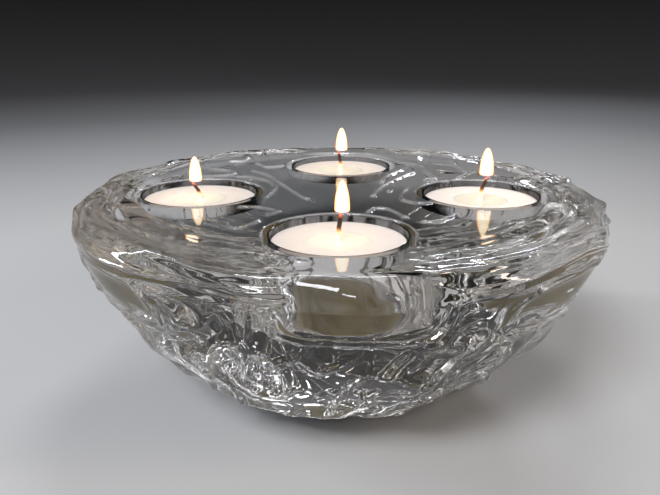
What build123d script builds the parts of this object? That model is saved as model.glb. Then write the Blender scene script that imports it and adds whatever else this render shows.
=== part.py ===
"""Thick cast-glass candle bowl with four tealights, each in a clear cup that stands in its own round well.

All lengths are in millimetres, +Z is up, and the origin is the middle of the face that the bowl rests on.
The front of the bowl is towards -Y. Tealight 1 stands in front, and the others follow anticlockwise from above.
"""
import os
from math import cos, exp, pi, radians, sin

from build123d import *

# Glass block: height, foot, how far the widest ring stands out past the flat top face, and its drop below it
bowl_height = 68.0
foot_radius = 24.0
shoulder_step = 4.8
widest_drop = 8.0

# Section of the outer wall between foot and widest ring, as shares of the step out and of the step up
wall_shares = [(0.097, 0.048), (0.262, 0.128), (0.457, 0.24), (0.605, 0.383), (0.753, 0.543), (0.857, 0.703),
               (0.945, 0.863)]
wall_ring_count = 13
shoulder_ring_count = 5

# Relief of the wall: three sets of ridges that meander and swirl round the bowl and cross, with hollows between
relief_height = 2.4
# For each set: ridges round the bowl, turns from foot to top, phase as a share of a turn, share of the height
ridge_shares = [(11, 0.13, 0.00, 0.58), (8, -0.10, 0.30, 0.42), (19, 0.08, 0.55, 0.20)]
# Meander of the ridges: waves round the bowl, turns from foot to top, phase and size as shares of a ridge's turn
meander_shares = [(3, 0.30, 0.00, 0.30), (5, -0.26, 0.35, 0.22)]
relief_start_share = 0.12
ring_points = 144

# Smooth windows in the relief, first the four in front of the wells and then the four between them. For each:
# angle, half width as an angle, level and half height as shares, bulge as a share of the relief
window_shares = [(274.8, 11.5, 0.90, 0.14, 1.0), (2.0, 9.5, 0.88, 0.15, 1.0), (93.0, 10.5, 0.90, 0.14, 1.0),
                 (182.0, 9.5, 0.88, 0.15, 1.0), (320.0, 17.0, 0.775, 0.11, 0.42), (46.0, 16.0, 0.78, 0.11, 0.42),
                 (136.0, 17.0, 0.78, 0.11, 0.42), (221.0, 15.0, 0.785, 0.11, 0.42)]

# Four wells in a cross, one for each tealight, and the flat land between their lips and the shoulder
well_count = 4
well_circle_radius = 46.5
well_gap = 1.7
well_lip = 1.2
rim_below_top = 0.9
top_land = 9.8

# Clear cup of a tealight: its outside tapers, and its wall is thinnest at the floor
cup_rim_radius = 19.3
cup_taper = 0.35
cup_height = 16.0
cup_wall = 0.45
cup_floor = 0.8
cup_corner = 0.9

# Wax slug in the cup, with a shallow round pool of melted wax in the middle
wax_gap = 0.1
wax_below_rim = 1.9
pool_radius = 8.5
pool_depth = 1.2

# Wick and the metal tab that holds it upright
wick_radius = 0.65
wick_rise = 5.0
wick_bend_rise = 1.5
tab_radius = 6.5
tab_thickness = 0.3
tab_neck_radius = 1.25
tab_neck_height = 3.2
# For each wick in turn: direction in which its tip leans, and by how much
wick_leans = [(25.0, 9.0), (8.0, 36.0), (165.0, 14.0), (172.0, 44.0)]

# Clearance round a wick or a tab, and the overrun of every cut
wick_gap = 0.05
overrun = 5.0

# Levels and radii that follow from the sizes above; those of a tealight are from its cup's underside
widest_level = bowl_height - widest_drop
well_radius = cup_rim_radius + well_gap
top_face_radius = well_circle_radius + well_radius + well_lip + top_land
widest_radius = top_face_radius + shoulder_step
well_depth = cup_height + rim_below_top
well_floor_level = bowl_height - well_depth
cup_base_radius = cup_rim_radius - cup_taper
cup_bore_radius = cup_base_radius - cup_wall
wax_top = cup_height - wax_below_rim
full_turn = 360.0
quarter = full_turn / well_count

UPWARD = (Align.CENTER, Align.CENTER, Align.MIN)
DOWNWARD = (Align.CENTER, Align.CENTER, Align.MAX)


def window_distance(angle, level_share, window):
    """How far a place is from the middle of a window: 1 on the window's outline."""
    middle_angle, half_angle, middle_share, half_height_share, _ = window
    from_middle = (angle - middle_angle + full_turn / 2) % full_turn - full_turn / 2
    return ((from_middle / half_angle) ** 4 + ((level_share - middle_share) / half_height_share) ** 4) ** 0.25


def crest(turns):
    """Rounded ridge: 1 on its crest and 0 in the wide hollow beside it."""
    return ((1 + cos(2 * pi * turns)) / 2) ** 2


def ridges(angle, level_share):
    """Share of the relief's height at a place of all the meandering sets of ridges."""
    total = meander = 0.0
    for waves, turns, phase_share, size_share in meander_shares:
        meander += size_share * sin(2 * pi * (waves * (angle / full_turn + turns * level_share) + phase_share))
    for count, turns, phase_share, height_share in ridge_shares:
        total += height_share * crest(count * (angle / full_turn + turns * level_share) + phase_share + meander)
    return total


def relief(angle, level_share):
    """Height of the relief at an angle round the bowl and a share of the way up."""
    share = ridges(angle, level_share) * min(1.0, level_share / relief_start_share)
    for window in window_shares:
        distance = window_distance(angle, level_share, window)
        share = share * (1 - exp(-(distance ** 4))) + window[-1] * exp(-2 * distance ** 2)
    return relief_height * share


def ring(place):
    """One closed section of the glass: a circle with the relief of its level."""
    points = []
    for step in range(ring_points):
        angle = full_turn * step / ring_points
        reach = place.X + relief(angle, place.Z / bowl_height)
        points.append((reach * cos(radians(angle)), reach * sin(radians(angle)), place.Z))
    return Wire([Spline(*points, periodic=True)])


def wall_section():
    """The hollows' outline in the XZ plane, from the foot up to the widest ring."""
    step_out = widest_radius - foot_radius
    inner = [(foot_radius + out * step_out, 0, up * widest_level) for out, up in wall_shares]
    return Spline((foot_radius, 0, 0), *inner, (widest_radius, 0, widest_level))


def shoulder_section():
    """The rounded shoulder's outline in the XZ plane, from the widest ring to the top face."""
    corner = (widest_radius, 0, bowl_height)
    return Bezier((widest_radius, 0, widest_level), corner, (top_face_radius, 0, bowl_height))


def glass_block():
    """The cast block without its wells, lofted through rings from the foot to the top face."""
    wall, shoulder = wall_section(), shoulder_section()
    places = [wall @ (step / wall_ring_count) for step in range(wall_ring_count)]
    places += [shoulder @ (step / shoulder_ring_count) for step in range(shoulder_ring_count + 1)]
    return Solid.make_loft([ring(place) for place in places])


def well_frame(number):
    """The middle of a well's floor, which is where a cup's underside stands."""
    return Rot(Z=number * quarter) * Pos(0, -well_circle_radius, well_floor_level)


def glass_bowl():
    """The whole bowl: the block with four flat-floored wells, their lips bevelled."""
    body = glass_block()
    for number in range(well_count):
        body -= well_frame(number) * Cylinder(well_radius, well_depth + overrun, align=UPWARD)
    lips = body.edges().filter_by(GeomType.CIRCLE).group_by(Axis.Z)[-1]
    return body.chamfer(well_lip, None, lips)


def tealight_cup():
    """Thin clear cup, a little wider at its rim, with a bevelled corner round its floor."""
    outer = Cone(cup_base_radius, cup_rim_radius, cup_height, align=UPWARD)
    outer = outer.chamfer(cup_corner, None, outer.edges().group_by(Axis.Z)[0])
    return outer - Pos(Z=cup_floor) * Cylinder(cup_bore_radius, cup_height, align=UPWARD)


def pool_dish():
    """The shallow dish in the wax's surface that holds the pool, deepest round the wick."""
    return Pos(Z=wax_top) * Cone(wick_radius + wick_gap, pool_radius, pool_depth, align=DOWNWARD)


def wick_bore():
    """The space that the wick takes in the wax and through the tab's neck."""
    return Pos(Z=cup_floor) * Cylinder(wick_radius + wick_gap, cup_height, align=UPWARD)


def tab_shape(clearance):
    """Round plate with a neck, as large as the tab or, with a clearance, as the space for it."""
    plate = Cylinder(tab_radius + clearance, tab_thickness + clearance, align=UPWARD)
    neck = Cylinder(tab_neck_radius + clearance, tab_neck_height + clearance, align=UPWARD)
    return Pos(Z=cup_floor) * (plate + neck)


def tealight_wax():
    """Wax slug that fills the cup, hollowed for the pool, the tab and the wick."""
    slug = Pos(Z=cup_floor) * Cylinder(cup_bore_radius - wax_gap, wax_top - cup_floor, align=UPWARD)
    return slug - pool_dish() - wick_bore() - tab_shape(wick_gap)


def melt_pool():
    """Melted wax that fills the dish round the wick, level with the slug's top."""
    return pool_dish() - wick_bore()


def wick_tab():
    """Round metal plate with a neck that grips the wick's foot."""
    return tab_shape(0) - wick_bore()


def wick(lean):
    """Cotton wick: upright from the cup's floor, and bent over above the wax towards its burnt tip."""
    foot = Vector(0, 0, cup_floor)
    bend = Vector(0, 0, wax_top + wick_bend_rise)
    tip = bend + Vector(sin(radians(lean)), 0, cos(radians(lean))) * (wick_rise - wick_bend_rise)
    section = Pos(foot) * Circle(wick_radius)
    return sweep(section, Polyline(foot, bend, tip), transition=Transition.RIGHT)


def tealight(number):
    """The pieces of one tealight, each under its node's name."""
    azimuth, lean = wick_leans[number]
    pieces = {
        "tealight_cup": tealight_cup(),
        "tealight_wax": tealight_wax(),
        "melt_pool": melt_pool(),
        "wick_tab": wick_tab(),
        "wick": Rot(Z=azimuth - number * quarter) * wick(lean),
    }
    return {f"{name}_{number + 1}": well_frame(number) * piece for name, piece in pieces.items()}


def write_parts():
    """Writes one file for each node of the bowl."""
    os.makedirs("parts", exist_ok=True)
    nodes = {"glass_bowl": glass_bowl()}
    for number in range(well_count):
        nodes.update(tealight(number))
    for name, shape in nodes.items():
        export_step(shape, f"parts/{name}.step")


write_parts()
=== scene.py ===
"""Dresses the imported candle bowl: swirling cast glass, lit tealights in clear cups and a plain studio."""
import math

import bmesh
import bpy
import numpy as np
from mathutils.geometry import delaunay_2d_cdt
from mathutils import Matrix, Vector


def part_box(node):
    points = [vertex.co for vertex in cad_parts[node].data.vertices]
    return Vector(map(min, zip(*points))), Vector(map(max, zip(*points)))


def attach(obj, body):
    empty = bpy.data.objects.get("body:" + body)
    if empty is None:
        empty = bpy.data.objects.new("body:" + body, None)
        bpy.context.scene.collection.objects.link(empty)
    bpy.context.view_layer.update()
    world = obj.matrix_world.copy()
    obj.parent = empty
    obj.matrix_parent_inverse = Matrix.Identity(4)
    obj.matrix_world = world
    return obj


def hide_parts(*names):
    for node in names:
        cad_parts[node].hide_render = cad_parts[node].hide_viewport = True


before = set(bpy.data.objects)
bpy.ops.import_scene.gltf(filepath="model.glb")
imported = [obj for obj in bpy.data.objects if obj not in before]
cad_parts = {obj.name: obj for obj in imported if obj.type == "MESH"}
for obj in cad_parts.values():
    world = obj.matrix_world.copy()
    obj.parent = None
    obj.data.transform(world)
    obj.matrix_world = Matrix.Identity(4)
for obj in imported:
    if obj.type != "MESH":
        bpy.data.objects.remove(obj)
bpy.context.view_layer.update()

MM = 0.001
WELLS = (1, 2, 3, 4)
# Fine steps for each given point of a smooth curve
CURVE_STEPS = 40

# Levels and radii that the solids give
CUP_LOW, CUP_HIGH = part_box("tealight_cup_1")
WAX_LOW, WAX_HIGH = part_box("tealight_wax_1")
POOL_LOW, POOL_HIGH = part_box("melt_pool_1")
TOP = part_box("glass_bowl")[1][2]
WELL_FLOOR = CUP_LOW[2]
CUP_RIM = CUP_HIGH[2]
WAX_TOP = WAX_HIGH[2]
CUP_RADIUS = (CUP_HIGH[0] - CUP_LOW[0]) / 2
WAX_RADIUS = (WAX_HIGH[0] - WAX_LOW[0]) / 2
POOL_RADIUS = (POOL_HIGH[0] - POOL_LOW[0]) / 2

# Section of the glass without its relief
TOP_FACE_RADIUS = 78.5 * MM
WIDEST_RADIUS = TOP_FACE_RADIUS + 4.8 * MM
WIDEST_DROP = 8.0 * MM
FOOT_RADIUS = 24.0 * MM
FOOT_ROUNDING = 1.5 * MM
WALL_SHARES = ((0.097, 0.048), (0.262, 0.128), (0.457, 0.24), (0.605, 0.383), (0.753, 0.543), (0.857, 0.703),
               (0.945, 0.863))
WELL_RADIUS = CUP_RADIUS + 1.7 * MM
WELL_LIP = 0.6 * MM
WELL_CORNER = 1.2 * MM
FLOOR_GAP = 0.15 * MM
WELL_CORNER_STEPS, WELL_LIP_STEPS = 6, 10

# Broad relief of the wall and shoulder, as the solid has it: meandering ridges and eight smooth windows
BROAD_HEIGHT = 2.4 * MM
BROAD_START = 0.12
RIDGE_SETS = ((11, 0.13, 0.00, 0.58), (8, -0.10, 0.30, 0.42), (19, 0.08, 0.55, 0.20))
MEANDERS = ((3, 0.30, 0.00, 0.30), (5, -0.26, 0.35, 0.22))
# For each window: angle and half width in degrees, level and half height as shares, bulge
WINDOWS = ((274.8, 11.5, 0.90, 0.14, 1.0), (2.0, 9.5, 0.88, 0.15, 1.0), (93.0, 10.5, 0.90, 0.14, 1.0),
           (182.0, 9.5, 0.88, 0.15, 1.0), (320.0, 17.0, 0.775, 0.11, 0.42), (46.0, 16.0, 0.78, 0.11, 0.42),
           (136.0, 17.0, 0.78, 0.11, 0.42), (221.0, 15.0, 0.785, 0.11, 0.42))

# Fine relief on it, and the band of the top face that it runs on into: steps of the mesh, then sizes
RELIEF_SEED = 11
RING_STEPS = 960
WALL_STEPS = 230
SHOULDER_STEPS = 36
BAND_STEPS = 30
WELL_STEPS = 144
RIDGE_HEIGHT = 1.1 * MM
STREAK_HEIGHT = 1.25 * MM
STREAK_SPACING = 5.6 * MM
SLOT_DEPTH = 1.3 * MM
TOP_WAVE = 0.04 * MM
TOP_DIP = 0.9 * MM
DIP_REACH = 8 * MM
RIB_HEIGHT = 0.65 * MM
RIB_HALF_WIDTH = 0.85 * MM
BAND_RADIUS = 69.6 * MM
MOST_OVER_TOP = 0.5 * MM

# Noise of the wall's ridges: cell sizes, widths as shares of a cell, and how far the noise bends
RIDGE_CELL, LEAF_CELL, PATCH_CELL, BEND_CELL = 11 * MM, 6 * MM, 20 * MM, 26 * MM
RIDGE_WIDTH, LEAF_WIDTH, LEAF_SHARE, RIDGE_BASE = 0.22, 0.24, 0.5, 0.35
RIDGE_LENGTHENING, BEND_LENGTHENING, RIDGE_SWIRL = 0.42, 0.6, 0.05
RIDGE_BEND = 6 * MM
PATCH_SPAN = (-0.3, 0.2)
# Radius, in millimetres, at which the lengthening keeps a place where it is
FLOW_RADIUS = 50

# Noise of the streaks round the shoulder, taken from a circle, and how the way inwards spreads it
DRIFT_CELL, DEPTH_CELL, GRAIN_CELL = 34 * MM, 22 * MM, 13 * MM
GRAIN_WIDTH, GRAIN_SHARE, STREAK_BASE, STREAK_DRIFT = 0.24, 0.15, 0.35, 1.5
STREAK_CIRCLE = 60 * MM
DRIFT_SPREAD, GRAIN_SPREAD, GRAIN_BEND = 1.5, 3.5, 5 * MM
DEPTH_SPAN, LEAST_DEPTH, LEAST_STREAK = (-0.8, 0.1), 0.25, 0.35

# Spans over which one form gives way to the next: ways past the widest ring, levels with a share of the
# height that is lost or kept there, and radii
RIM_SPAN = (-2.5 * MM, 2.0 * MM)
STREAK_SPAN = (0, 6 * MM)
BAND_SPAN = (7 * MM, 10 * MM)
BROAD_SPAN = (8 * MM, 17 * MM)
UPPER_WALL_SPAN, UPPER_WALL_LOSS = (44 * MM, 58 * MM), 0.35
FOOT_SPAN = (1 * MM, 5 * MM)
LOWER_WALL_SPAN, LOWER_WALL_SHARE = (4 * MM, 24 * MM), 0.5
INNER_EDGE_SPAN = (BAND_RADIUS + 0.2 * MM, BAND_RADIUS + 3 * MM)

# Windows in the fine relief: share of their height, span of their edge, and for each low rim round them
# its distance, width and share of the height
CALM_SHARE = 0.87
CALM_SPAN = (0.9, 1.12)
WINDOW_RIMS = ((1.1, 0.07, 1.0), (1.34, 0.08, 0.6))
WINDOW_RIM_HEIGHT = 0.5 * MM
WINDOW_WAVE = (0.005, 0.012)

# Noise in space: cells before it repeats, a shift that keeps its cells clear of the axes, and its gain
NOISE_SIZE, NOISE_SHIFT, NOISE_GAIN = 16, 1000.5, 1.7

# For each flame, in millimetres: levels of its bright foot and its tip over the wax, half width, and how far
# it stands to the right
FLAMES = ((8.2, 16.5, 2.05, 0.6), (8.2, 17.0, 2.25, 0.3), (7.9, 16.5, 2.25, 0.8), (5.9, 13.8, 2.05, 0.1))
BLUE_FOOT = 1.7 * MM
FLAME_STEPS = 48
# Outline of a flame: shares of its height and of its half width
FLAME_SHAPE = ((0.0, 0.0), (0.012, 0.50), (0.05, 0.80), (0.12, 0.95), (0.22, 1.0), (0.36, 0.985),
               (0.50, 0.93), (0.64, 0.82), (0.78, 0.65), (0.89, 0.46), (0.965, 0.25), (1.0, 0.0))
# Where a flame stands between its cup's middle, 0, and its wick's tip, 1. Then the light inside it: power,
# radius, share of the flame's height, and colour
FLAME_OVER_TIP = 0.6
FLAME_POWER, FLAME_LIGHT_RADIUS, FLAME_LIGHT_SHARE = 0.006, 3 * MM, 0.55
FLAME_LIGHT_COLOUR = (1.0, 0.72, 0.42)

# Cup: wall, floor, corner, how much narrower it is at its foot, and the recess under its floor
CUP_WALL, CUP_FLOOR, CUP_CORNER, CUP_TAPER, CUP_RECESS = 0.45 * MM, 0.8 * MM, 1.0 * MM, 0.35 * MM, 0.3 * MM

# Wax and pool: shares of the wax's or pool's radius, and millimetres under the wax's top
WAX_SURFACE = ((0.93, 0.08), (0.8, 0.16), (0.62, 0.2))
WAX_DISH = ((1.06, 0.2), (1.0, 0.3), (0.92, 0.55), (0.7, 1.0), (0.35, 1.3), (0, 1.35))
POOL_SHAPE = ((0, 1.3), (0.35, 1.25), (0.7, 0.95), (0.92, 0.5), (1.05, 0.216), (1.049, 0.213), (0.98, 0.25),
              (0.85, 0.29), (0.4, 0.29), (0, 0.29))
WAX_EDGE = 0.5 * MM
WAX_GAP = 0.05 * MM
# Its lower corner: millimetres in from its side, and up from its underside
WAX_FOOT = ((1.0, 0), (0.3, 0.5), (0, 1.5))
ROUND_STEPS, POOL_STEPS = 96, 80

# Wick: radius of its solid and of its strand, how deep it starts under the wax's top, how far its tip ends
# under the level of the flame's bright foot, and steps along and round it
WICK_SOLID_RADIUS, WICK_RADIUS, WICK_ROOT, WICK_END = 0.65 * MM, 0.62 * MM, 2.0 * MM, 0.9 * MM
WICK_STEPS, WICK_AROUND = 24, 18
# Share of the way up where its bend starts, and how the bend grows
WICK_BEND_START, WICK_BEND_POWER = 0.45, 1.3
# Share of the way up where its burnt end starts, length of that end, how much thinner it gets, and its point
WICK_TAPER_START, WICK_TAPER_LENGTH, WICK_TAPER, WICK_POINT = 0.8, 0.2, 0.45, 0.25 * MM
# Plaits: depth as a share of the radius, number of them, and twist from end to end
PLAITS = ((0.10, 3, 26), (0.05, 7, -41))

# Gentle waves of the top face: lengths, how far one bends the other, and a phase
TOP_WAVE_LENGTHS = (7.1 * MM, 11 * MM, 6.3 * MM)
TOP_WAVE_BEND, TOP_WAVE_PHASE = 1.3, 0.8
# Spacing of the face's points, the share of the spacing that they keep from its edges, and room for rounding
TOP_SPACING, TOP_MARGIN_SHARE, ROUNDING_ROOM = 0.55 * MM, 0.6, 0.002 * MM

# Lens-shaped slots in the top band: angle and half width in degrees, radius and half width in millimetres
BAND_SLOTS = ((206.0, 8.5, 71.0, 2.2), (245.0, 7.0, 70.8, 2.0), (316.0, 7.0, 73.5, 2.1),
              (296.0, 6.0, 71.5, 1.6), (342.0, 7.5, 72.5, 2.0), (24.0, 8.0, 72.0, 2.1),
              (66.0, 7.0, 71.5, 2.0), (114.0, 8.0, 72.5, 2.2), (158.0, 7.5, 71.8, 2.0))
SLOT_SKEW, SLOT_SPAN = 0.35, (0.45, 1.0)

# Ribs on the top face, placed between the wells: points of each middle line in millimetres
TOP_RIBS = (((-32.8, 34.0), (-27.2, 27.8), (-20.3, 13.1), (-15.1, 0.9), (-10.6, -8.9)),
            ((-37.5, 23.8), (-32.0, 22.4), (-26.5, 18.2), (-22.4, 9.0), (-22.4, 1.5), (-23.6, -7.0)),
            ((-55.6, 49.6), (-48.4, 36.8), (-41.3, 33.8), (-39.5, 28.3), (-44.1, 24.9), (-50.3, 24.4)),
            ((-43.8, 49.9), (-39.3, 51.7), (-38.7, 61.0), (-42.5, 69.8)),
            ((-32.9, 48.0), (-27.4, 41.1), (-22.8, 43.6), (-21.2, 48.2)),
            ((24.3, 51.2), (30.0, 47.1), (32.5, 33.4), (33.8, 21.5), (30.5, 19.5)),
            ((30.1, 47.9), (32.7, 62.4), (35.4, 70.0)), ((10.3, 68.0), (17.6, 62.0), (24.3, 51.2)),
            ((26.9, 31.4), (21.8, 23.4), (15.5, 10.6), (12.4, 2.9), (10.9, -4.9)),
            ((23.1, 35.8), (17.9, 26.9), (14.4, 15.5)),
            ((46.3, 66.6), (44.3, 56.8), (45.5, 41.3), (46.6, 30.0), (42.5, 23.0)),
            ((-30.5, -19.4), (-25.8, -19.4), (-21.7, -21.3), (-18.4, -24.3), (-21.0, -28.0)),
            ((-36.0, -33.8), (-33.4, -36.2), (-28.9, -42.6), (-25.5, -39.3), (-23.0, -34.0)),
            ((24.0, -34.8), (27.3, -35.1), (31.0, -31.4), (34.7, -26.5)),
            ((8.7, -24.8), (10.3, -20.6), (14.1, -20.5), (17.0, -25.0), (19.5, -30.4)),
            ((31.0, -12.0), (25.5, -14.0), (21.0, -11.0), (20.5, -3.0), (22.5, 5.0)))
# Points along each rib, the waves of its flanks, and the gap to an edge at which it has its full height
RIB_POINTS = 90
RIB_WAVE_CELL, RIB_WAVE_SHARE, RIB_START = 3.5 * MM, 0.45, 1.5 * MM
# Frost on the ribs: levels over the lowered top face, radii between which it begins, and its roughness
FROST_LEVELS = (0.25 * MM, 0.50 * MM)
FROST_RADII = (BAND_RADIUS - 4 * MM, BAND_RADIUS - 8 * MM)
FROST_ROUGHNESS = 0.24

# Soft boxes and strips of light: name, place, level aimed at, size, power, colour
LIGHTS = (("key", (-0.35, -0.8, 0.85), 0.03, (0.4, 0.3), 7.8, (0.95, 0.96, 1.0)),
          ("front", (-0.05, -1.0, 0.62), 0.05, (0.22, 0.1), 1.2, (0.95, 0.96, 1.0)),
          ("top", (0.05, 0.3, 0.95), 0.05, (0.3, 0.12), 1.1, (0.97, 0.98, 1.0)),
          ("back", (0.3, 0.85, 0.55), 0.05, (0.3, 0.06), 1.6, (0.88, 0.92, 1.0)),
          ("side", (0.8, -0.35, 0.5), 0.04, (0.08, 0.5), 2.4, (1.0, 0.86, 0.74)),
          ("left", (-0.85, 0.1, 0.4), 0.04, (0.06, 0.4), 2.6, (0.86, 0.9, 1.0)))
WORLD_COLOUR, WORLD_STRENGTH = (0.62, 0.64, 0.67, 1), 0.06

# Floor: radius of its flat, radius of its bend, height of its backdrop, and distances over which it darkens
FLOOR_FLAT, FLOOR_BEND, FLOOR_WALL = 1.1, 0.7, 1.9
FLOOR_SHADE_SPAN = (0.25, 1.6)

# Camera: its place, angles in degrees, and the focal length and width of the picture in pixels
CAMERA_PLACE = (1.2 * MM, -227.8 * MM, 122.0 * MM)
CAMERA_DOWN, CAMERA_TURN = 18.0, 1.12
FOCAL_PIXELS, PICTURE_PIXELS, SENSOR_WIDTH = 705.0, 660, 36.0


def centre(node):
    """The middle of a node's box in plan."""
    low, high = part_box(node)
    return (low[0] + high[0]) / 2, (low[1] + high[1]) / 2


# Mesh helpers

def mesh_object(name, points, faces, material):
    """A new piece from points and faces, with its normals turned outwards."""
    mesh = bpy.data.meshes.new(name)
    mesh.from_pydata([tuple(map(float, point)) for point in points], [], faces)
    work = bmesh.new()
    work.from_mesh(mesh)
    bmesh.ops.recalc_face_normals(work, faces=work.faces)
    work.to_mesh(mesh)
    work.free()
    mesh.polygons.foreach_set("use_smooth", [True] * len(mesh.polygons))
    mesh.materials.append(material)
    piece = bpy.data.objects.new(name, mesh)
    bpy.context.scene.collection.objects.link(piece)
    return piece


def ring_faces(lower, upper, steps):
    """Quads between two rings of points, given by the number of their first points."""
    return [(lower + k, lower + (k + 1) % steps, upper + (k + 1) % steps, upper + k) for k in range(steps)]


def turned(profile, steps, middle=(0.0, 0.0)):
    """Points and faces of a profile of (radius, level) turned about an upright axis, closed on the axis."""
    points, faces, rings = [], [], []
    for radius, level in profile:
        rings.append((len(points), radius == 0))
        for k in range(1 if radius == 0 else steps):
            angle = 2 * math.pi * k / steps
            points.append((middle[0] + radius * math.cos(angle), middle[1] + radius * math.sin(angle), level))
    for (low, low_point), (high, high_point) in zip(rings, rings[1:]):
        if low_point:
            faces += [(low, high + k, high + (k + 1) % steps) for k in range(steps)]
        elif high_point:
            faces += [(high, low + (k + 1) % steps, low + k) for k in range(steps)]
        else:
            faces += ring_faces(low, high, steps)
    return points, faces


def arc(middle, radius, start, end, steps):
    """Points (radius, level) of an arc in a section, with its angles in degrees."""
    angles = [math.radians(start + (end - start) * k / steps) for k in range(steps + 1)]
    return [(middle[0] + radius * math.cos(a), middle[1] + radius * math.sin(a)) for a in angles]


def smooth_line(points, count):
    """A smooth curve through section points, as evenly spaced points along its length."""
    points = np.array(points, float)
    steps = np.linalg.norm(np.diff(points, axis=0), axis=1)
    knots = np.concatenate([[0], np.cumsum(steps)])
    slopes = np.gradient(points, knots, axis=0)
    fine = np.linspace(0, knots[-1], CURVE_STEPS * len(points))
    index = np.clip(np.searchsorted(knots, fine, side="right") - 1, 0, len(points) - 2)
    width = (knots[index + 1] - knots[index])[:, None]
    t = ((fine - knots[index])[:, None]) / width
    curve = ((2 * t**3 - 3 * t**2 + 1) * points[index] + (t**3 - 2 * t**2 + t) * width * slopes[index]
             + (3 * t**2 - 2 * t**3) * points[index + 1] + (t**3 - t**2) * width * slopes[index + 1])
    length = np.concatenate([[0], np.cumsum(np.linalg.norm(np.diff(curve, axis=0), axis=1))])
    even = np.linspace(0, length[-1], count)
    return np.stack([np.interp(even, length, curve[:, axis]) for axis in (0, 1)], axis=1)


# Relief of the glass

def ease(value, start, end):
    """Goes smoothly from 0 at start to 1 at end."""
    share = np.clip((value - start) / (end - start), 0, 1)
    return share * share * (3 - 2 * share)


def solid_noise(place, cell, seed):
    """Smooth noise in space between about -1 and 1, for points given as an array of (x, y, z)."""
    random = np.random.default_rng(seed)
    slopes = random.normal(size=(NOISE_SIZE, NOISE_SIZE, NOISE_SIZE, 3))
    slopes /= np.linalg.norm(slopes, axis=3)[..., None]
    spot = place / cell + NOISE_SHIFT
    corner = np.floor(spot).astype(int)
    part = spot - corner
    mix = part**3 * (part * (6 * part - 15) + 10)
    total = 0.0
    for step in np.ndindex(2, 2, 2):
        slope = slopes[tuple((corner + step)[..., axis] % NOISE_SIZE for axis in (0, 1, 2))]
        weight = np.prod(np.where(step, mix, 1 - mix), axis=-1)
        total = total + weight * np.sum(slope * (part - step), axis=-1)
    return NOISE_GAIN * total


def ribbons(field, width):
    """Rounded ridges along the lines where a field of noise is zero: long meanders and closed loops."""
    return np.exp(-(field / width) ** 2)


def window_distance(turn, share, angle, half_angle, middle, half_height):
    """How far a place is from the middle of a smooth window: 1 on the window's outline."""
    from_middle = ((turn - angle / 360 + 0.5) % 1 - 0.5) * 360
    return ((from_middle / half_angle) ** 4 + ((share - middle) / half_height) ** 4) ** 0.25


def broad_relief(turn, share):
    """Height of the solid's own relief at a share of a turn and a share of the way up."""
    meander = sum(size * np.sin(2 * np.pi * (waves * (turn + swirl * share) + phase))
                  for waves, swirl, phase, size in MEANDERS)
    height = sum(part * ribbon_crest(count * (turn + swirl * share) + phase + meander)
                 for count, swirl, phase, part in RIDGE_SETS)
    height = height * np.minimum(1, share / BROAD_START)
    for *window, bulge in WINDOWS:
        distance = window_distance(turn, share, *window)
        height = height * (1 - np.exp(-(distance**4))) + bulge * np.exp(-2 * distance**2)
    return BROAD_HEIGHT * height


def ribbon_crest(turns):
    """Rounded ridge: 1 on its crest and 0 in the wide hollow beside it."""
    return ((1 + np.cos(2 * np.pi * turns)) / 2) ** 2


def flow_place(turn, reach, level, along, swirl):
    """Places for the noise, with the way from foot to top shortened, so that its forms run along it."""
    kept = (FLOW_RADIUS + along * (reach / MM - FLOW_RADIUS)) * MM
    angle = 2 * np.pi * (turn - swirl * level / TOP)
    return np.stack([kept * np.cos(angle), kept * np.sin(angle), along * level], axis=-1)


def wall_ridges(turn, reach, level, warp):
    """Long meandering ridges and leaf-like loops that run from the foot to the rim."""
    place = flow_place(turn, reach, level, RIDGE_LENGTHENING, RIDGE_SWIRL) + RIDGE_BEND * warp
    long_ridges = ribbons(solid_noise(place, RIDGE_CELL, RELIEF_SEED), RIDGE_WIDTH)
    leaves = ribbons(solid_noise(place, LEAF_CELL, RELIEF_SEED + 4), LEAF_WIDTH)
    patches = ease(solid_noise(place, PATCH_CELL, RELIEF_SEED + 5), *PATCH_SPAN)
    return long_ridges + LEAF_SHARE * patches * leaves - RIDGE_BASE


def rim_streaks(turn, way, warp):
    """Long streaks round the shoulder and the top band that drift in and out, low at the widest ring."""
    angle = 2 * np.pi * turn
    x, y = STREAK_CIRCLE * np.cos(angle), STREAK_CIRCLE * np.sin(angle)
    ring = np.stack([x, y, DRIFT_SPREAD * way], axis=-1)
    drift = solid_noise(ring, DRIFT_CELL, RELIEF_SEED + 6)
    depth = ease(solid_noise(ring, DEPTH_CELL, RELIEF_SEED + 9), *DEPTH_SPAN)
    ring = ring + GRAIN_BEND * warp + GRAIN_SPREAD * way[..., None] * np.array([0, 0, 1])
    grain = ribbons(solid_noise(ring, GRAIN_CELL, RELIEF_SEED + 7), GRAIN_WIDTH)
    crests = ribbon_crest(way / STREAK_SPACING + STREAK_DRIFT * drift)
    crests = (LEAST_DEPTH + (1 - LEAST_DEPTH) * depth) * crests
    strength = LEAST_STREAK + (1 - LEAST_STREAK) * ease(way, *STREAK_SPAN)
    return strength * (crests + GRAIN_SHARE * grain - STREAK_BASE)


def band_slots(turn, reach):
    """Depth share of the lens-shaped slots in the top band."""
    depth = 0.0
    for angle, half_angle, middle, half_width in BAND_SLOTS:
        across = (reach / MM - middle) / half_width
        along = ((turn - angle / 360 + 0.5) % 1 - 0.5) * 360 / half_angle
        depth = np.maximum(depth, 1 - ease(np.hypot(across + SLOT_SKEW * along, along), *SLOT_SPAN))
    return depth


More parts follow.
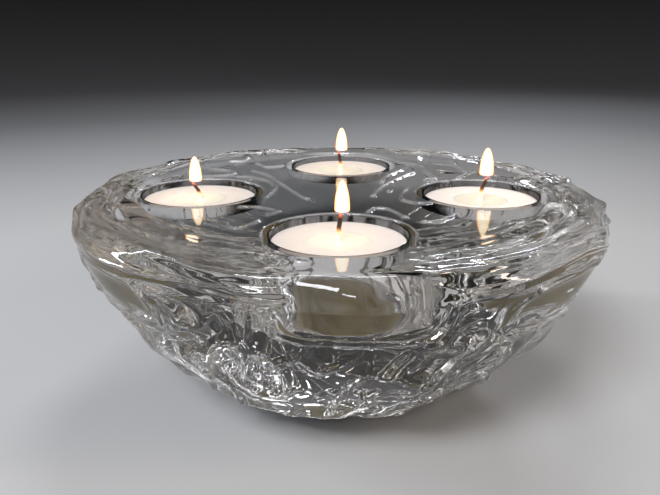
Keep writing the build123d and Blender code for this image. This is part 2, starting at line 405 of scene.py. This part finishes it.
def fine_relief(turn, reach, level, way):
    """Height of the fine relief at a share of a turn, a radius, a level and a way past the widest ring."""
    slow_place = flow_place(turn, reach, level, BEND_LENGTHENING, RIDGE_SWIRL)
    warp = np.stack([solid_noise(slow_place, BEND_CELL, RELIEF_SEED + k) for k in (1, 2, 3)], axis=-1)
    past_rim = ease(way, *RIM_SPAN)
    ridges = RIDGE_HEIGHT * wall_ridges(turn, reach, level, warp)
    ridges = ridges * (1 - UPPER_WALL_LOSS * ease(level, *UPPER_WALL_SPAN))
    streaks = STREAK_HEIGHT * rim_streaks(turn, way, warp)
    height = ridges * (1 - past_rim) + streaks * past_rim
    turn_wave, share_wave = WINDOW_WAVE
    waved_turn, waved_share = turn + turn_wave * warp[..., 0], level / TOP + share_wave * warp[..., 1]
    distance = np.min([
        window_distance(waved_turn, waved_share, angle, half_angle, middle, CALM_SHARE * half_height)
        for angle, half_angle, middle, half_height, _ in WINDOWS], axis=0)
    outside = ease(distance, *CALM_SPAN)
    rim = sum(part * np.exp(-((distance - middle) / width) ** 2) for middle, width, part in WINDOW_RIMS)
    height = outside * height + WINDOW_RIM_HEIGHT * rim * (1 - past_rim)
    on_band = ease(way, *BAND_SPAN)
    height = height - SLOT_DEPTH * band_slots(turn, reach) * on_band
    lower = LOWER_WALL_SHARE + (1 - LOWER_WALL_SHARE) * ease(level, *LOWER_WALL_SPAN)
    begin = ease(level, *FOOT_SPAN) * lower
    inner_edge = ease(reach, *INNER_EDGE_SPAN)
    return begin * height * (1 - on_band * (1 - inner_edge))


def glass_section():
    """The section of wall, shoulder and top band, and how far each point is past the widest ring."""
    step_out, step_up = WIDEST_RADIUS - FOOT_RADIUS, TOP - WIDEST_DROP
    wall = [(FOOT_RADIUS + out * step_out, up * step_up) for out, up in WALL_SHARES]
    start = [(FOOT_RADIUS - 2 * FOOT_ROUNDING, 0), (FOOT_RADIUS - FOOT_ROUNDING / 2, 0)]
    wall = smooth_line(start + wall + [(WIDEST_RADIUS, step_up)], WALL_STEPS)
    bend = np.linspace(0, 1, SHOULDER_STEPS + 1)[1:]
    step_in = WIDEST_RADIUS - TOP_FACE_RADIUS
    shoulder = np.stack([WIDEST_RADIUS - step_in * bend**2, TOP - WIDEST_DROP * (1 - bend) ** 2], axis=1)
    inwards = np.linspace(TOP_FACE_RADIUS, BAND_RADIUS, BAND_STEPS + 1)[1:]
    band = np.stack([inwards, np.full(BAND_STEPS, TOP)], axis=1)
    section = np.concatenate([wall, shoulder, band])
    steps = np.linalg.norm(np.diff(section, axis=0), axis=1)
    way = np.concatenate([[0], np.cumsum(steps)])
    return section, way - way[len(wall) - 1]


def glass_wall():
    """Rings of points of the outer surface, from the foot's flat over the rim to the band's inner edge."""
    section, way = glass_section()
    along = np.gradient(section, axis=0)
    along /= np.linalg.norm(along, axis=1)[:, None]
    turn = np.repeat((np.arange(RING_STEPS) / RING_STEPS)[None, :], len(section), axis=0)
    reach, level, way, up, inward = (np.repeat(column[:, None], RING_STEPS, axis=1) for column in (
        section[:, 0], section[:, 1], way, along[:, 1], -along[:, 0]))
    height = fine_relief(turn, reach, level, way)
    broad = broad_relief(turn, level / TOP) * (1 - ease(way, *BROAD_SPAN))
    radius = reach + broad + height * up
    level = np.clip(level + height * inward, 0, TOP + MOST_OVER_TOP)
    level[-1] = TOP
    angle = 2 * np.pi * turn
    return np.stack([radius * np.cos(angle), radius * np.sin(angle), level], axis=2)


def top_ribs(x, y):
    """Share of the ribs' height at places of the top face: flat on a rib, with steep, wavy flanks."""
    gap = np.full(len(x), 1.0)
    for line in TOP_RIBS:
        for px, py in smooth_line(np.array(line) * MM, RIB_POINTS):
            gap = np.minimum(gap, np.hypot(x - px, y - py))
    wave = solid_noise(np.stack([x, y, 0 * x], axis=-1), RIB_WAVE_CELL, RELIEF_SEED + 8)
    return np.exp(-(gap / (RIB_HALF_WIDTH * (1 + RIB_WAVE_SHARE * wave))) ** 4)


def top_level(x, y, edge_gap, lip_gap):
    """Level of the top face: under the rim, level with the wells' lips, with gentle waves and thin ribs."""
    across, bend, along = TOP_WAVE_LENGTHS
    waves = (np.sin(x / across + TOP_WAVE_BEND * np.sin(y / bend)) + np.sin(y / along + TOP_WAVE_PHASE)) / 2
    gap = np.minimum(edge_gap, lip_gap)
    low = TOP_DIP * ease(edge_gap / np.minimum(DIP_REACH, edge_gap + lip_gap), 0, 1)
    low = low + TOP_WAVE * (1 - waves) * ease(gap, 0, DIP_REACH)
    return TOP - low + RIB_HEIGHT * top_ribs(x, y) * ease(gap, 0, RIB_START)


def top_face(edge, lips):
    """The top face between its edge and the four lips: places of its inner points, and its triangles."""
    across = np.arange(-BAND_RADIUS, BAND_RADIUS, TOP_SPACING)
    inner = [(x + (row % 2) * TOP_SPACING / 2, y) for row, y in enumerate(across) for x in across]
    edge_radius = np.hypot(edge[:, 0], edge[:, 1]).min()
    middles = [centre(f"tealight_cup_{n}") for n in WELLS]
    reach = WELL_RADIUS + WELL_LIP

    def is_free(x, y, margin):
        """Whether a place lies on the top face and a margin away from its edges."""
        if math.hypot(x, y) > edge_radius - margin:
            return False
        return all(math.hypot(x - mx, y - my) > reach + margin for mx, my in middles)

    inner = [point for point in inner if is_free(*point, TOP_SPACING * TOP_MARGIN_SHARE)]
    loops = [edge[:, :2]] + [lip[:, :2] for lip in lips]
    points, edges = [], []
    for loop in loops:
        first = len(points)
        points += [tuple(map(float, point)) for point in loop]
        edges += [(first + k, first + (k + 1) % len(loop)) for k in range(len(loop))]
    result = delaunay_2d_cdt(points + inner, edges, [], 0, 1e-9)
    faces = []
    for face in result[2]:
        x = sum(result[0][k][0] for k in face) / 3
        y = sum(result[0][k][1] for k in face) / 3
        if is_free(x, y, -ROUNDING_ROOM):
            faces.append(tuple(face))
    return inner, faces


def well_section():
    """Section of one well as (radius, level), from its rounded lip down to the middle of its floor."""
    floor = WELL_FLOOR - FLOOR_GAP
    edge = TOP - TOP_DIP - WELL_LIP
    lip = arc((WELL_RADIUS + WELL_LIP, edge), WELL_LIP, 90, 180, WELL_LIP_STEPS)
    wall = [(WELL_RADIUS, edge - share * (edge - floor - WELL_CORNER)) for share in (0.25, 0.5, 0.75)]
    corner = arc((WELL_RADIUS - WELL_CORNER, floor + WELL_CORNER), WELL_CORNER, 0, -90, WELL_CORNER_STEPS)
    return lip + wall + corner + [(WELL_RADIUS * share, floor) for share in (0.8, 0.5, 0.25)] + [(0, floor)]


def build_glass(material):
    """The whole glass bowl as one closed mesh."""
    wall = glass_wall()
    rings = len(wall)
    points = [tuple(point) for ring in wall for point in ring]
    faces = []
    for ring in range(rings - 1):
        faces += ring_faces(ring * RING_STEPS, (ring + 1) * RING_STEPS, RING_STEPS)
    points.append((0.0, 0.0, 0.0))
    faces += [(len(points) - 1, (k + 1) % RING_STEPS, k) for k in range(RING_STEPS)]
    edge_first = (rings - 1) * RING_STEPS
    loops, lips = [edge_first], []
    section = well_section()
    for n in WELLS:
        well_points, well_faces = turned(section, WELL_STEPS, centre(f"tealight_cup_{n}"))
        first = len(points)
        loops.append(first)
        lips.append(np.array(well_points[:WELL_STEPS]))
        points += well_points
        faces += [tuple(first + k for k in face) for face in well_faces]
    inner, top_faces = top_face(wall[-1], lips)
    inner_first = len(points)
    middles = np.array([centre(f"tealight_cup_{n}") for n in WELLS])
    x, y = np.array(inner).T
    lip_gap = np.min([np.hypot(x - mx, y - my) for mx, my in middles], axis=0) - WELL_RADIUS - WELL_LIP
    level = top_level(x, y, np.maximum(0, BAND_RADIUS - np.hypot(x, y)), np.maximum(0, lip_gap))
    points += list(zip(x, y, level))
    sizes = [RING_STEPS] + [WELL_STEPS] * len(WELLS)
    places = [first + k for first, size in zip(loops, sizes) for k in range(size)]
    places += [inner_first + k for k in range(len(inner))]
    faces += [tuple(places[k] for k in face) for face in top_faces]
    return mesh_object("cast_glass_bowl", points, faces, material)


# Materials

def new_material(name):
    """A node material with its Principled shader."""
    material = bpy.data.materials.new(name)
    material.use_nodes = True
    nodes = material.node_tree.nodes
    return material, nodes, material.node_tree.links, nodes["Principled BSDF"]


def set_inputs(shader, **values):
    """Sets the shader's own sockets from names with underscores for spaces."""
    for name, value in values.items():
        shader.inputs[name.replace("_", " ")].default_value = value


def noise_ramp(nodes, links, scale, stops, detail=3.0):
    """A noise texture in object space through a colour ramp with the given stops."""
    place = nodes.new("ShaderNodeTexCoord")
    noise = nodes.new("ShaderNodeTexNoise")
    noise.inputs["Scale"].default_value = scale
    noise.inputs["Detail"].default_value = detail
    ramp = nodes.new("ShaderNodeValToRGB")
    for element, (where, colour) in zip(ramp.color_ramp.elements, stops):
        element.position = where
        element.color = colour
    links.new(place.outputs["Object"], noise.inputs["Vector"])
    links.new(noise.outputs["Fac"], ramp.inputs["Fac"])
    return noise, ramp


def map_range(nodes, links, value, start, end, low=0.0, high=1.0):
    """Spreads a value between start and end over the span from low to high."""
    node = nodes.new("ShaderNodeMapRange")
    for name, number in (("From Min", start), ("From Max", end), ("To Min", low), ("To Max", high)):
        node.inputs[name].default_value = number
    links.new(value, node.inputs["Value"])
    return node.outputs["Result"]


def level_share(nodes, links, low, high):
    """How far up a point lies between two levels of the piece at rest, from 0 to 1."""
    place = nodes.new("ShaderNodeTexCoord")
    split = nodes.new("ShaderNodeSeparateXYZ")
    links.new(place.outputs["Object"], split.inputs["Vector"])
    return map_range(nodes, links, split.outputs["Z"], low, high)


def ramp_of(nodes, links, value, stops):
    """A colour ramp with any number of stops, fed by a value."""
    ramp = nodes.new("ShaderNodeValToRGB")
    elements = ramp.color_ramp.elements
    while len(elements) < len(stops):
        elements.new(1.0)
    for element, (where, colour) in zip(elements, stops):
        element.position = where
        element.color = colour
    links.new(value, ramp.inputs["Fac"])
    return ramp.outputs["Color"]


def multiplied(nodes, links, first, second):
    """The product of two colours."""
    mix = nodes.new("ShaderNodeMix")
    mix.data_type = "RGBA"
    mix.blend_type = "MULTIPLY"
    mix.inputs["Factor"].default_value = 1.0
    links.new(first, mix.inputs["A"])
    links.new(second, mix.inputs["B"])
    return mix.outputs["Result"]


def distance_from_origin(nodes, links, place):
    """How far a place is from the origin."""
    length = nodes.new("ShaderNodeVectorMath")
    length.operation = "LENGTH"
    links.new(place, length.inputs[0])
    return length.outputs["Value"]


def bump_from(nodes, links, height, shader, strength, distance):
    """Lets a height texture tilt the shader's normals a little."""
    bump = nodes.new("ShaderNodeBump")
    bump.inputs["Strength"].default_value = strength
    bump.inputs["Distance"].default_value = distance
    links.new(height, bump.inputs["Height"])
    links.new(bump.outputs["Normal"], shader.inputs["Normal"])


def clear_shadows(material, share):
    """Lets part of the light through a clear material, so that its shadow stays light."""
    nodes, links = material.node_tree.nodes, material.node_tree.links
    shader, output = nodes["Principled BSDF"], nodes["Material Output"]
    path = nodes.new("ShaderNodeLightPath")
    part = nodes.new("ShaderNodeMath")
    part.operation = "MULTIPLY"
    part.inputs[1].default_value = share
    through = nodes.new("ShaderNodeBsdfTransparent")
    mix = nodes.new("ShaderNodeMixShader")
    links.new(path.outputs["Is Shadow Ray"], part.inputs[0])
    links.new(part.outputs[0], mix.inputs["Fac"])
    links.new(shader.outputs["BSDF"], mix.inputs[1])
    links.new(through.outputs["BSDF"], mix.inputs[2])
    links.new(mix.outputs["Shader"], output.inputs["Surface"])


def glass_material():
    """Clear cast glass: a faint warm tint in its depth, an uneven polish and frost on the top's ribs."""
    material, nodes, links, shader = new_material("cast_glass")
    set_inputs(shader, IOR=1.52, Transmission_Weight=1.0)
    noise, ramp = noise_ramp(nodes, links, 60, [(0.35, (0.98, 0.975, 0.985, 1)), (0.75, (1, 1, 1, 1))])
    links.new(ramp.outputs["Color"], shader.inputs["Base Color"])
    polish = map_range(nodes, links, noise.outputs["Fac"], 0.0, 1.0, 0.0, 0.02)
    crest = level_share(nodes, links, *(TOP - TOP_DIP + over for over in FROST_LEVELS))
    place = nodes.new("ShaderNodeTexCoord").outputs["Object"]
    outer, inner = (math.hypot(radius, TOP) for radius in FROST_RADII)
    distance = distance_from_origin(nodes, links, place)
    inside = map_range(nodes, links, distance, outer, inner, 0.0, FROST_ROUGHNESS)
    frost = nodes.new("ShaderNodeMath")
    frost.operation = "MULTIPLY_ADD"
    links.new(crest, frost.inputs[0])
    links.new(inside, frost.inputs[1])
    links.new(polish, frost.inputs[2])
    links.new(frost.outputs["Value"], shader.inputs["Roughness"])
    depth = nodes.new("ShaderNodeVolumeAbsorption")
    depth.inputs["Color"].default_value = (0.86, 0.83, 0.77, 1)
    depth.inputs["Density"].default_value = 5.0
    links.new(depth.outputs["Volume"], nodes["Material Output"].inputs["Volume"])
    return material


def cup_material():
    """Clear moulded plastic of the tealight cups, darkened by painted shade above the wax."""
    material, nodes, links, shader = new_material("clear_cup")
    set_inputs(shader, IOR=1.49, Transmission_Weight=1.0)
    noise, ramp = noise_ramp(nodes, links, 180, [(0.3, (0.96, 0.97, 0.98, 1)), (0.7, (1, 1, 1, 1))])
    # Painted shade: the cup turns dark grey above the wax's top
    share = level_share(nodes, links, WAX_TOP - 1.0 * MM, WAX_TOP)
    painted_shade_above_wax = ramp_of(nodes, links, share, [(0.0, (1, 1, 1, 1)), (1.0, (0.45, 0.43, 0.42, 1))])
    links.new(multiplied(nodes, links, ramp.outputs["Color"], painted_shade_above_wax), shader.inputs["Base Color"])
    haze = map_range(nodes, links, noise.outputs["Fac"], 0.0, 1.0, 0.01, 0.06)
    links.new(haze, shader.inputs["Roughness"])
    clear_shadows(material, 0.9)
    return material


def wax_material():
    """Candle wax: white and faintly pink with faint mottling; further down, painted shade darkens its sides
    to olive and a mottled painted glow of olive candlelight shines from them.
    """
    material, nodes, links, shader = new_material("candle_wax")
    set_inputs(shader, Subsurface_Weight=0.35, Subsurface_Scale=0.002, Roughness=0.42, IOR=1.44)
    shader.inputs["Subsurface Radius"].default_value = (1.0, 0.62, 0.42)
    noise, ramp = noise_ramp(nodes, links, 220, [(0.3, (0.96, 0.87, 0.81, 1)), (0.7, (1.0, 0.93, 0.88, 1))])
    share = level_share(nodes, links, WAX_LOW[2], WAX_TOP)
    # Painted shade: the wax darkens and turns olive further down its sides, standing in for less light and
    # candlelight tinted by the glass
    depth = ramp_of(nodes, links, share, [
        (0.0, (0.35, 0.27, 0.07, 1)), (0.80, (0.42, 0.31, 0.12, 1)), (0.93, (1, 1, 1, 1))])
    # Painted glow: the lower wax emits olive candlelight, though the wax is no lamp
    painted_glow = ramp_of(nodes, links, share, [
        (0.0, (0.19, 0.14, 0.02, 1)), (0.80, (0.20, 0.13, 0.03, 1)), (0.92, (0, 0, 0, 1))])
    # Mottling of the painted glow
    _, painted_glow_mottling = noise_ramp(nodes, links, 110, [(0.35, (0.45, 0.45, 0.45, 1)), (0.7, (1, 1, 1, 1))], 1.0)
    links.new(multiplied(nodes, links, painted_glow, painted_glow_mottling.outputs["Color"]), shader.inputs["Emission Color"])
    set_inputs(shader, Emission_Strength=0.45)
    links.new(multiplied(nodes, links, ramp.outputs["Color"], depth), shader.inputs["Base Color"])
    bump_from(nodes, links, noise.outputs["Fac"], shader, 0.15, 0.0003)
    return material


def pool_material():
    """Melted wax: wet and slightly yellow, with a painted glow of its flame's light from within."""
    material, nodes, links, shader = new_material("molten_wax")
    set_inputs(shader, Subsurface_Weight=0.35, Subsurface_Scale=0.002, Roughness=0.12, IOR=1.44,
               Coat_Weight=0.2)
    _, ramp = noise_ramp(nodes, links, 150, [(0.3, (1.0, 0.955, 0.86, 1)), (0.7, (1.0, 0.97, 0.90, 1))])
    links.new(ramp.outputs["Color"], shader.inputs["Base Color"])
    # Painted glow: emission stands in for the flame's light in the melted wax
    shader.inputs["Emission Color"].default_value = (1.0, 0.86, 0.62, 1)
    set_inputs(shader, Emission_Strength=0.14)
    return material


def steel_material():
    """Thin stamped steel of the wick tabs."""
    material, nodes, links, shader = new_material("tab_steel")
    set_inputs(shader, Metallic=1.0)
    noise, ramp = noise_ramp(nodes, links, 900, [(0.3, (0.58, 0.58, 0.57, 1)), (0.7, (0.72, 0.72, 0.70, 1))])
    links.new(ramp.outputs["Color"], shader.inputs["Base Color"])
    grain = map_range(nodes, links, noise.outputs["Fac"], 0.0, 1.0, 0.25, 0.45)
    links.new(grain, shader.inputs["Roughness"])
    return material


def wick_material(low, high):
    """Waxed cotton that is pale at its foot with a painted glow of the flame's light there, charred above and
    glowing at its tip.
    """
    material, nodes, links, shader = new_material("burnt_wick")
    set_inputs(shader, Roughness=0.85)
    share = level_share(nodes, links, low, high)
    char = ramp_of(nodes, links, share, [
        (0.0, (1.0, 0.93, 0.78, 1)), (0.30, (1.0, 0.86, 0.60, 1)), (0.44, (0.75, 0.30, 0.07, 1)),
        (0.54, (0.10, 0.04, 0.02, 1)), (0.85, (0.03, 0.02, 0.02, 1)), (1.0, (0.25, 0.06, 0.02, 1))])
    # Painted glow of the flame's light on the wick's pale foot; the glow at its tip is the ember's own
    painted_glow = ramp_of(nodes, links, share, [
        (0.0, (0.5, 0.38, 0.2, 1)), (0.30, (0.5, 0.36, 0.16, 1)), (0.50, (0, 0, 0, 1)), (0.85, (0, 0, 0, 1)),
        (1.0, (1.0, 0.16, 0.03, 1))])
    links.new(char, shader.inputs["Base Color"])
    links.new(painted_glow, shader.inputs["Emission Color"])
    set_inputs(shader, Emission_Strength=1.2)
    return material


def flame_material(low, high):
    """Candle flame: pale yellow in its middle, orange at its edge, and a clear blue foot."""
    material, nodes, links, shader = new_material("candle_flame")
    share = level_share(nodes, links, low, high)
    facing = nodes.new("ShaderNodeLayerWeight")
    facing.inputs["Blend"].default_value = 0.3
    body = ramp_of(nodes, links, facing.outputs["Facing"], [
        (0.0, (1.0, 0.90, 0.68, 1)), (0.22, (1.0, 0.80, 0.46, 1)), (0.42, (1.0, 0.46, 0.13, 1)),
        (0.75, (0.9, 0.20, 0.04, 1))])
    foot = ramp_of(nodes, links, share, [
        (0.0, (0.10, 0.13, 0.55, 1)), (0.14, (0.22, 0.16, 0.40, 1)), (0.21, (1, 1, 1, 1))])
    cover = ramp_of(nodes, links, share, [
        (0.0, (0.03, 0.03, 0.03, 1)), (0.13, (0.12, 0.12, 0.12, 1)), (0.21, (1, 1, 1, 1))])
    set_inputs(shader, Roughness=1.0, Emission_Strength=2.8)
    shader.inputs["Base Color"].default_value = (0, 0, 0, 1)
    shader.inputs["Specular IOR Level"].default_value = 0.0
    links.new(multiplied(nodes, links, body, foot), shader.inputs["Emission Color"])
    links.new(cover, shader.inputs["Alpha"])
    return material


# Tealights

def build_cup(n, material):
    """Thin clear cup with rounded corners and a small rim."""
    foot, base = CUP_LOW[2], CUP_RADIUS - CUP_TAPER
    outer = [(0, foot + CUP_RECESS), (base * 0.72, foot + CUP_RECESS), (base * 0.76, foot)]
    outer += arc((base - CUP_CORNER, foot + CUP_CORNER), CUP_CORNER, -90, 0, 6)
    rim = arc((CUP_RADIUS - CUP_WALL / 2, CUP_RIM - CUP_WALL / 2), CUP_WALL / 2, 0, 180, 6)
    inner_radius, inner_corner = base - CUP_WALL, CUP_CORNER - CUP_WALL
    inner = arc((inner_radius - inner_corner, foot + CUP_FLOOR + inner_corner), inner_corner, 0, -90, 5)
    profile = outer + rim + inner + [(0, foot + CUP_FLOOR)]
    points, faces = turned(profile, ROUND_STEPS, centre(f"tealight_cup_{n}"))
    piece = mesh_object(f"clear_cup_{n}", points, faces, material)
    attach(piece, f"tealight_{n}")
    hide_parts(f"tealight_cup_{n}")


def build_wax(n, material):
    """Wax slug with a soft edge, a slight dip towards the wick and a dish under the pool."""
    bottom = WAX_LOW[2] + WAX_GAP
    profile = [(0, bottom), (WAX_RADIUS * 0.5, bottom)]
    profile += [(WAX_RADIUS - inward * MM, bottom + up * MM) for inward, up in WAX_FOOT]
    profile += [(WAX_RADIUS, (bottom + WAX_TOP) / 2), (WAX_RADIUS, WAX_TOP - WAX_EDGE)]
    profile += [(WAX_RADIUS - WAX_EDGE * 0.12, WAX_TOP - WAX_EDGE * 0.3)]
    profile += [(WAX_RADIUS - WAX_EDGE * 0.5, WAX_TOP)]
    profile += [(WAX_RADIUS * share, WAX_TOP - drop * MM) for share, drop in WAX_SURFACE]
    profile += [(POOL_RADIUS * share, WAX_TOP - drop * MM) for share, drop in WAX_DISH]
    points, faces = turned(profile, ROUND_STEPS, centre(f"tealight_cup_{n}"))
    piece = mesh_object(f"wax_slug_{n}", points, faces, material)
    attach(piece, f"tealight_{n}")
    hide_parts(f"tealight_wax_{n}")


def build_pool(n, material):
    """Melted wax that fills the dish and thins out over the wax round it."""
    profile = [(POOL_RADIUS * share, WAX_TOP - drop * MM) for share, drop in POOL_SHAPE]
    points, faces = turned(profile, POOL_STEPS, centre(f"tealight_cup_{n}"))
    piece = mesh_object(f"molten_pool_{n}", points, faces, material)
    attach(piece, f"tealight_{n}")
    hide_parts(f"melt_pool_{n}")


def lean_along(low, high, middle):
    """How far a wick's tip leans along one axis, from the ends of its solid's box."""
    if high - middle > middle - low:
        return high - middle - WICK_SOLID_RADIUS
    return -(middle - low - WICK_SOLID_RADIUS)


def wick_line(n):
    """Middle line of a wick, from under the pool into the flame's foot, leaning as its solid does."""
    x, y = centre(f"tealight_cup_{n}")
    low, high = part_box(f"wick_{n}")
    lean_x, lean_y = lean_along(low[0], high[0], x), lean_along(low[1], high[1], y)
    rise = FLAMES[n - 1][0] * MM - WICK_END
    line = []
    for step in range(WICK_STEPS + 1):
        share = step / WICK_STEPS
        lean = max(0.0, (share - WICK_BEND_START) / (1 - WICK_BEND_START)) ** WICK_BEND_POWER
        line.append((x + lean * lean_x, y + lean * lean_y, WAX_TOP - WICK_ROOT + share * (rise + WICK_ROOT)))
    return line


def build_wick(n):
    """Braided wick: a bent round strand with twisting plaits, burnt thin towards its tip."""
    line = wick_line(n)
    around, points, faces = WICK_AROUND, [], []
    for step, (x, y, z) in enumerate(line):
        share = step / (len(line) - 1)
        taper = 1.0 - WICK_TAPER * max(0.0, (share - WICK_TAPER_START) / WICK_TAPER_LENGTH) ** 2
        for k in range(around):
            angle = 2 * math.pi * k / around
            plait = 1
            for depth, count, twist in PLAITS:
                plait += depth * math.cos(count * angle + share * twist)
            radius = WICK_RADIUS * taper * plait
            points.append((x + radius * math.cos(angle), y + radius * math.sin(angle), z))
        if step:
            faces += ring_faces((step - 1) * around, step * around, around)
    low_end, high_end = len(points), len(points) + 1
    points += [line[0], (line[-1][0], line[-1][1], line[-1][2] + WICK_POINT)]
    last = (len(line) - 1) * around
    faces += [(low_end, (k + 1) % around, k) for k in range(around)]
    faces += [(high_end, last + k, last + (k + 1) % around) for k in range(around)]
    material = wick_material(WAX_TOP - 0.4 * MM, line[-1][2])
    piece = mesh_object(f"braided_wick_{n}", points, faces, material)
    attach(piece, f"tealight_{n}")
    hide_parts(f"wick_{n}")
    return line[-1]


def build_flame(n, tip):
    """Bullet-shaped flame round the wick's tip, with a small warm light inside it."""
    foot, top, half_width, drift = (size * MM for size in FLAMES[n - 1])
    low, high = WAX_TOP + foot - BLUE_FOOT, WAX_TOP + top
    outline = [(width * half_width, low + up * (high - low)) for up, width in FLAME_SHAPE]
    line = smooth_line(outline, FLAME_STEPS)
    profile = [(0, low)] + [tuple(point) for point in line[1:-1]] + [(0, high)]
    x, y = (FLAME_OVER_TIP * at_tip + (1 - FLAME_OVER_TIP) * at_middle
            for at_tip, at_middle in zip(tip, centre(f"tealight_cup_{n}")))
    points, faces = turned(profile, FLAME_STEPS, (x + drift, y))
    piece = mesh_object(f"flame_{n}", points, faces, flame_material(low, high))
    piece.visible_shadow = False
    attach(piece, f"tealight_{n}")
    light = bpy.data.lights.new(f"flame_light_{n}", "POINT")
    light.energy = FLAME_POWER
    light.color = FLAME_LIGHT_COLOUR
    light.shadow_soft_size = FLAME_LIGHT_RADIUS
    lamp = bpy.data.objects.new(f"flame_light_{n}", light)
    lamp.location = (tip[0], tip[1], low + FLAME_LIGHT_SHARE * (high - low))
    lamp.visible_camera = False
    lamp.visible_glossy = False
    lamp.visible_transmission = False
    bpy.context.scene.collection.objects.link(lamp)
    lamp.parent = piece


def dress_tabs(material):
    """Gives the wick tabs' solids their steel."""
    for n in WELLS:
        node = bpy.data.objects[f"wick_tab_{n}"]
        node.data.materials.clear()
        node.data.materials.append(material)


# Studio

def floor_material():
    """Plain pale floor with the faintest mottling, darker far away and on the backdrop."""
    material, nodes, links, shader = new_material("pale_floor")
    set_inputs(shader, Roughness=0.65)
    _, ramp = noise_ramp(nodes, links, 6, [(0.3, (0.72, 0.72, 0.71, 1)), (0.7, (0.74, 0.74, 0.73, 1))])
    place = nodes.new("ShaderNodeNewGeometry").outputs["Position"]
    reach = map_range(nodes, links, distance_from_origin(nodes, links, place), *FLOOR_SHADE_SPAN)
    # Painted shade: the floor and backdrop darken away from the object, standing in for light that falls off
    shade = ramp_of(nodes, links, reach, [
        (0.0, (1, 1, 1, 1)), (0.35, (0.42, 0.42, 0.43, 1)), (1.0, (0.06, 0.06, 0.065, 1))])
    links.new(multiplied(nodes, links, ramp.outputs["Color"], shade), shader.inputs["Base Color"])
    return material


def build_floor():
    """A round sweep: pale flat floor that darkens away from the object and curves up into a backdrop."""
    profile = [(0, 0)] + [(FLOOR_FLAT * share, 0) for share in (0.25, 0.5, 0.75)]
    profile += arc((FLOOR_FLAT, FLOOR_BEND), FLOOR_BEND, -90, 0, 16)
    profile += [(FLOOR_FLAT + FLOOR_BEND, FLOOR_WALL)]
    points, faces = turned(profile, ROUND_STEPS)
    floor = mesh_object("studio_floor", points, faces, floor_material())
    floor.data.flip_normals()


def area_light(name, place, aim_level, size, energy, colour):
    """A rectangular light that looks at a level over the middle of the floor."""
    light = bpy.data.lights.new(name, "AREA")
    light.shape = "RECTANGLE"
    light.size, light.size_y = size
    light.energy = energy
    light.color = colour
    lamp = bpy.data.objects.new(name, light)
    lamp.location = place
    direction = np.array([0, 0, aim_level]) - np.array(place)
    flat = math.hypot(direction[0], direction[1])
    lamp.rotation_euler = (math.atan2(flat, -direction[2]), 0, math.atan2(-direction[0], direction[1]))
    bpy.context.scene.collection.objects.link(lamp)


def build_lights():
    """The soft boxes and strips of light, and an even dim world."""
    for light in LIGHTS:
        area_light(*light)
    world = bpy.data.worlds.new("studio")
    world.use_nodes = True
    nodes = world.node_tree.nodes
    nodes["Background"].inputs["Color"].default_value = WORLD_COLOUR
    nodes["Background"].inputs["Strength"].default_value = WORLD_STRENGTH
    bpy.context.scene.world = world


def build_camera():
    """The photograph's viewpoint: in front, and 18 degrees down."""
    camera = bpy.data.cameras.new("camera")
    camera.sensor_width = SENSOR_WIDTH
    camera.lens = FOCAL_PIXELS / PICTURE_PIXELS * SENSOR_WIDTH
    camera.clip_start = 0.01
    eye = bpy.data.objects.new("camera", camera)
    eye.location = CAMERA_PLACE
    eye.rotation_euler = (math.radians(90 - CAMERA_DOWN), 0, math.radians(CAMERA_TURN))
    bpy.context.scene.collection.objects.link(eye)
    bpy.context.scene.camera = eye


def set_render():
    """Plain view transform, enough bounces for thick glass, and no noisy light focused through it."""
    scene = bpy.context.scene
    scene.view_settings.view_transform = "Standard"
    scene.cycles.max_bounces = 20
    scene.cycles.transmission_bounces = 20
    scene.cycles.glossy_bounces = 10
    scene.cycles.transparent_max_bounces = 16
    scene.cycles.caustics_refractive = False


glass = build_glass(glass_material())
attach(glass, "bowl")
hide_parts("glass_bowl")
cup_plastic, wax, molten = cup_material(), wax_material(), pool_material()
for number in WELLS:
    build_cup(number, cup_plastic)
    build_wax(number, wax)
    build_pool(number, molten)
    build_flame(number, build_wick(number))
dress_tabs(steel_material())
build_floor()
build_lights()
build_camera()
set_render()
